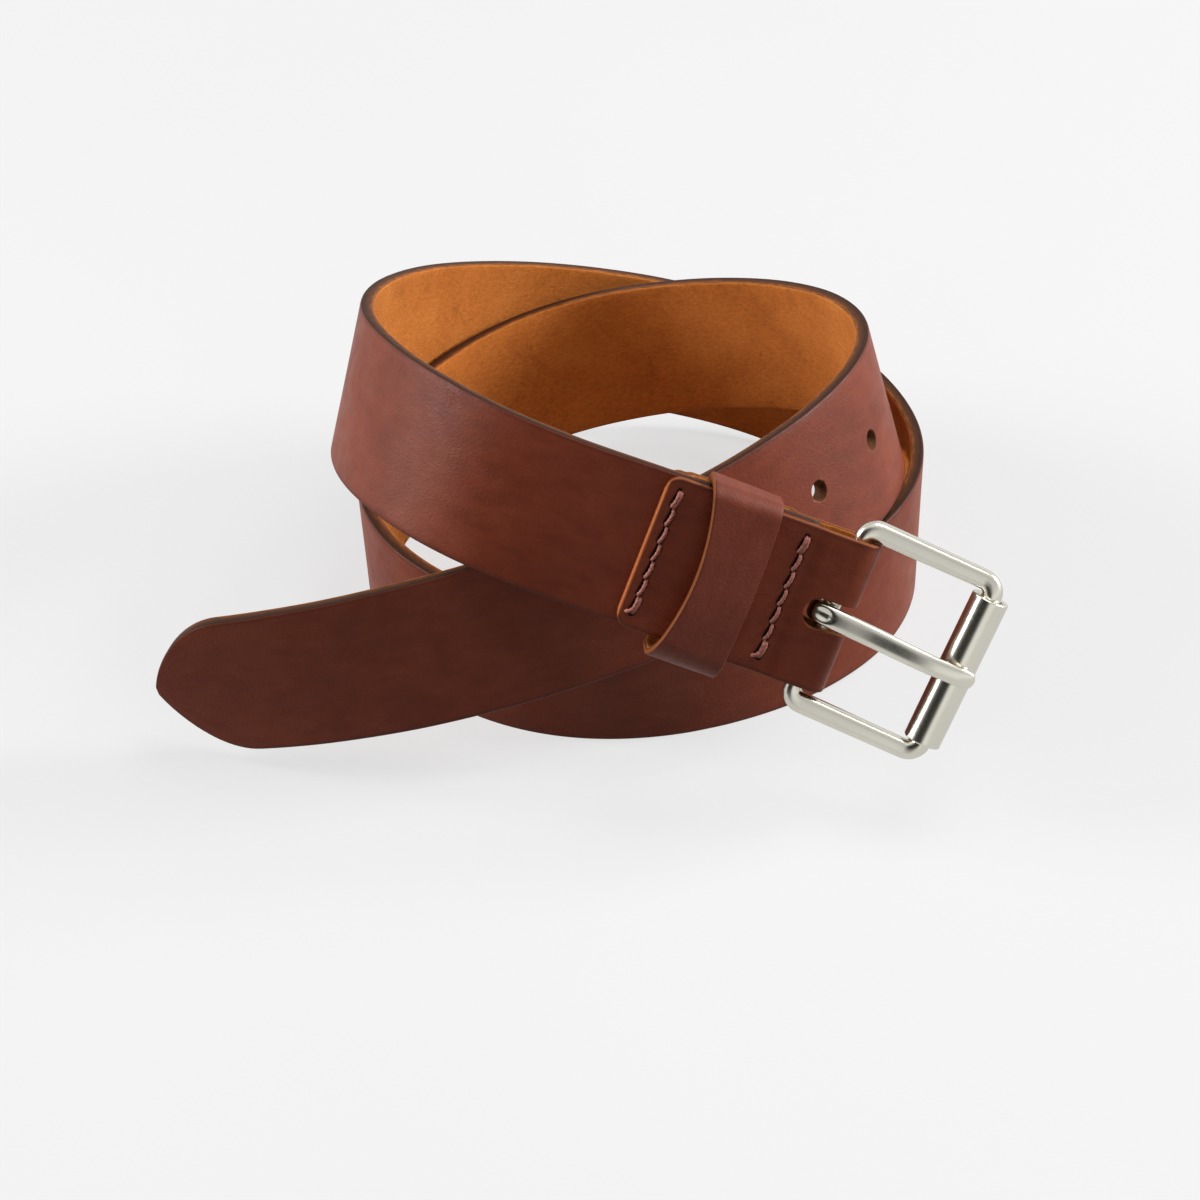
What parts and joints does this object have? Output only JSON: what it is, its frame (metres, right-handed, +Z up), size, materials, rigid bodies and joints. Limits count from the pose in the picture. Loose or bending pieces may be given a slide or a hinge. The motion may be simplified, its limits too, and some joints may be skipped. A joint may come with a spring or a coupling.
{
  "type": "leather belt",
  "caption": "Coiled leather belt with punched tail, sewn tab, fixed keeper loop and a roller buckle with a swinging prong.",
  "frame": {"origin": "on the surface the coiled belt stands on, below the middle of the bounding box", "axes": "+Z up, +X from the pointed tail towards the buckle, -Y towards the side that shows the buckle's face"},
  "size_m": [0.202, 0.1748, 0.0953],
  "materials": {
    "strap_leather": "smooth waxed grain outside, suede flesh side inside",
    "chape_leather": "smooth waxed grain",
    "keeper_leather": "smooth waxed grain",
    "thread": "waxed thick thread",
    "satin_nickel": "satin nickel plate"
  },
  "bodies": {
    "belt": {"strap": "strap_leather", "chape": "chape_leather", "buckle_row_face_thread": "thread", "buckle_row_back_thread": "thread", "edge_row_face_thread": "thread", "edge_row_back_thread": "thread"},
    "keeper": {"keeper": "keeper_leather"},
    "buckle": {"buckle_frame": "satin_nickel"},
    "roller": {"roller": "satin_nickel"},
    "prong": {"prong": "satin_nickel"}
  },
  "joints": [
    {"name": "buckle_swing", "type": "hinge", "parent": "belt", "child": "buckle", "pos_m": [0.05948, -0.06888, 0.05083], "axis": [-0.4012, -0.3531, -0.8452], "range_deg": [-45, 25]},
    {"name": "prong_swing", "type": "hinge", "parent": "buckle", "child": "prong", "pos_m": [0.05948, -0.06888, 0.05083], "axis": [-0.4012, -0.3531, -0.8452], "range_deg": [0, 60]},
    {"name": "roller_spin", "type": "hinge", "parent": "buckle", "child": "roller", "pos_m": [0.0894, -0.07667, 0.03988], "axis": [0.4012, 0.3531, 0.8452], "continuous": true},
    {"name": "keeper_slide", "type": "slide", "parent": "belt", "child": "keeper", "axis": [0.9346, -0.0906, -0.3439], "range_m": [-0.002, 0.002]}
  ]
}
